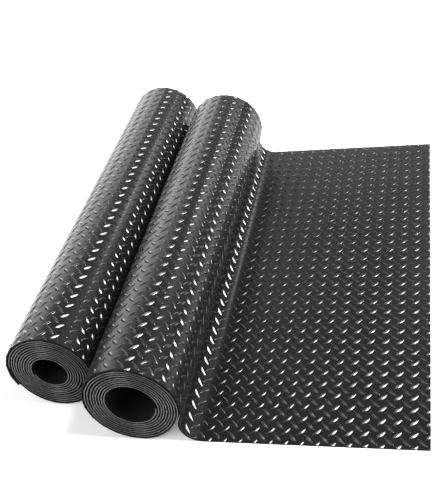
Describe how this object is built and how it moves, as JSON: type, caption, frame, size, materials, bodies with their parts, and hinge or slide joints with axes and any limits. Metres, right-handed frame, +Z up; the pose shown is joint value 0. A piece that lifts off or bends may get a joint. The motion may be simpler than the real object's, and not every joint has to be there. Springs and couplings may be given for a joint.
{
  "type": "rolled floor mat",
  "caption": "Black diamond-tread rubber floor matting in rolls, one partly unrolled flat and one rolled up with a loose end, for floors under chairs, benches and vehicles.",
  "frame": {"origin": "centre of the footprint of both rolls and the unrolled sheet, on the floor", "axes": "+Z up, +Y along the rolls away from the near ends, +X from the rolls towards the free end of the unrolled sheet"},
  "size_m": [0.8339, 1.08, 0.196],
  "materials": {
    "rubber_sheet": "satin, moulded diamond tread"
  },
  "bodies": {
    "front_roll": {"front_outer_turns": "rubber_sheet", "front_middle_turns": "rubber_sheet", "front_inner_turns": "rubber_sheet", "front_ramp": "rubber_sheet", "front_base": "rubber_sheet"},
    "free_end_01": {"front_strip_01": "rubber_sheet"},
    "free_end_02": {"front_strip_02": "rubber_sheet"},
    "free_end_03": {"front_strip_03": "rubber_sheet"},
    "free_end_04": {"front_strip_04": "rubber_sheet"},
    "free_end_05": {"front_strip_05": "rubber_sheet"},
    "free_end_06": {"front_strip_06": "rubber_sheet"},
    "free_end_07": {"front_strip_07": "rubber_sheet"},
    "free_end_08": {"front_strip_08": "rubber_sheet"},
    "free_end_09": {"front_strip_09": "rubber_sheet"},
    "free_end_10": {"front_strip_10": "rubber_sheet"},
    "free_end_11": {"front_strip_11": "rubber_sheet"},
    "free_end_12": {"front_strip_12": "rubber_sheet"},
    "rear_roll": {"rear_outer_turns": "rubber_sheet", "rear_middle_turns": "rubber_sheet", "rear_inner_turns": "rubber_sheet"},
    "loose_end_1": {"rear_tail_1": "rubber_sheet"},
    "loose_end_2": {"rear_tail_2": "rubber_sheet"},
    "loose_end_3": {"rear_tail_3": "rubber_sheet"},
    "loose_end_4": {"rear_tail_4": "rubber_sheet"},
    "loose_end_5": {"rear_tail_5": "rubber_sheet"}
  },
  "joints": [
    {"name": "free_end_bend_01", "type": "hinge", "parent": "front_roll", "child": "free_end_01", "pos_m": [0.06402, 0, 0.004], "axis": [0, -1, 0], "range_deg": [0, 15]},
    {"name": "free_end_bend_02", "type": "hinge", "parent": "free_end_01", "child": "free_end_02", "pos_m": [0.09343, 0, 0.004], "axis": [0, -1, 0], "range_deg": [0, 15]},
    {"name": "free_end_bend_03", "type": "hinge", "parent": "free_end_02", "child": "free_end_03", "pos_m": [0.12284, 0, 0.004], "axis": [0, -1, 0], "range_deg": [0, 15]},
    {"name": "free_end_bend_04", "type": "hinge", "parent": "free_end_03", "child": "free_end_04", "pos_m": [0.15225, 0, 0.004], "axis": [0, -1, 0], "range_deg": [0, 15]},
    {"name": "free_end_bend_05", "type": "hinge", "parent": "free_end_04", "child": "free_end_05", "pos_m": [0.18166, 0, 0.004], "axis": [0, -1, 0], "range_deg": [0, 15]},
    {"name": "free_end_bend_06", "type": "hinge", "parent": "free_end_05", "child": "free_end_06", "pos_m": [0.21108, 0, 0.004], "axis": [0, -1, 0], "range_deg": [0, 15]},
    {"name": "free_end_bend_07", "type": "hinge", "parent": "free_end_06", "child": "free_end_07", "pos_m": [0.24049, 0, 0.004], "axis": [0, -1, 0], "range_deg": [0, 15]},
    {"name": "free_end_bend_08", "type": "hinge", "parent": "free_end_07", "child": "free_end_08", "pos_m": [0.2699, 0, 0.004], "axis": [0, -1, 0], "range_deg": [0, 15]},
    {"name": "free_end_bend_09", "type": "hinge", "parent": "free_end_08", "child": "free_end_09", "pos_m": [0.29931, 0, 0.004], "axis": [0, -1, 0], "range_deg": [0, 15]},
    {"name": "free_end_bend_10", "type": "hinge", "parent": "free_end_09", "child": "free_end_10", "pos_m": [0.32872, 0, 0.004], "axis": [0, -1, 0], "range_deg": [0, 15]},
    {"name": "free_end_bend_11", "type": "hinge", "parent": "free_end_10", "child": "free_end_11", "pos_m": [0.35813, 0, 0.004], "axis": [0, -1, 0], "range_deg": [0, 15]},
    {"name": "free_end_bend_12", "type": "hinge", "parent": "free_end_11", "child": "free_end_12", "pos_m": [0.38755, 0, 0.004], "axis": [0, -1, 0], "range_deg": [0, 15]},
    {"name": "rear_roll_slide", "type": "slide", "parent": "front_roll", "child": "rear_roll", "axis": [-1, 0, 0], "range_m": [0, 0.25]},
    {"name": "loose_end_peel_1", "type": "hinge", "parent": "rear_roll", "child": "loose_end_1", "pos_m": [-0.3612, 0.04, 0.18152], "axis": [0, 1, 0], "range_deg": [0, 14]},
    {"name": "loose_end_peel_2", "type": "hinge", "parent": "loose_end_1", "child": "loose_end_2", "pos_m": [-0.38616, 0.04, 0.16502], "axis": [0, 1, 0], "range_deg": [0, 14]},
    {"name": "loose_end_peel_3", "type": "hinge", "parent": "loose_end_2", "child": "loose_end_3", "pos_m": [-0.40476, 0.04, 0.14158], "axis": [0, 1, 0], "range_deg": [0, 14]},
    {"name": "loose_end_peel_4", "type": "hinge", "parent": "loose_end_3", "child": "loose_end_4", "pos_m": [-0.41514, 0.04, 0.11352], "axis": [0, 1, 0], "range_deg": [0, 14]},
    {"name": "loose_end_peel_5", "type": "hinge", "parent": "loose_end_4", "child": "loose_end_5", "pos_m": [-0.41628, 0.04, 0.08362], "axis": [0, 1, 0], "range_deg": [0, 14]}
  ],
  "couplings": [
    {"joint": "free_end_bend_02", "follows": "free_end_bend_01", "ratio": 1},
    {"joint": "free_end_bend_03", "follows": "free_end_bend_01", "ratio": 1},
    {"joint": "free_end_bend_04", "follows": "free_end_bend_01", "ratio": 1},
    {"joint": "free_end_bend_05", "follows": "free_end_bend_01", "ratio": 1},
    {"joint": "free_end_bend_06", "follows": "free_end_bend_01", "ratio": 1},
    {"joint": "free_end_bend_07", "follows": "free_end_bend_01", "ratio": 1},
    {"joint": "free_end_bend_08", "follows": "free_end_bend_01", "ratio": 1},
    {"joint": "free_end_bend_09", "follows": "free_end_bend_01", "ratio": 1},
    {"joint": "free_end_bend_10", "follows": "free_end_bend_01", "ratio": 1},
    {"joint": "free_end_bend_11", "follows": "free_end_bend_01", "ratio": 1},
    {"joint": "free_end_bend_12", "follows": "free_end_bend_01", "ratio": 1},
    {"joint": "loose_end_peel_2", "follows": "loose_end_peel_1", "ratio": 1},
    {"joint": "loose_end_peel_3", "follows": "loose_end_peel_1", "ratio": 1},
    {"joint": "loose_end_peel_4", "follows": "loose_end_peel_1", "ratio": 1},
    {"joint": "loose_end_peel_5", "follows": "loose_end_peel_1", "ratio": 1}
  ]
}
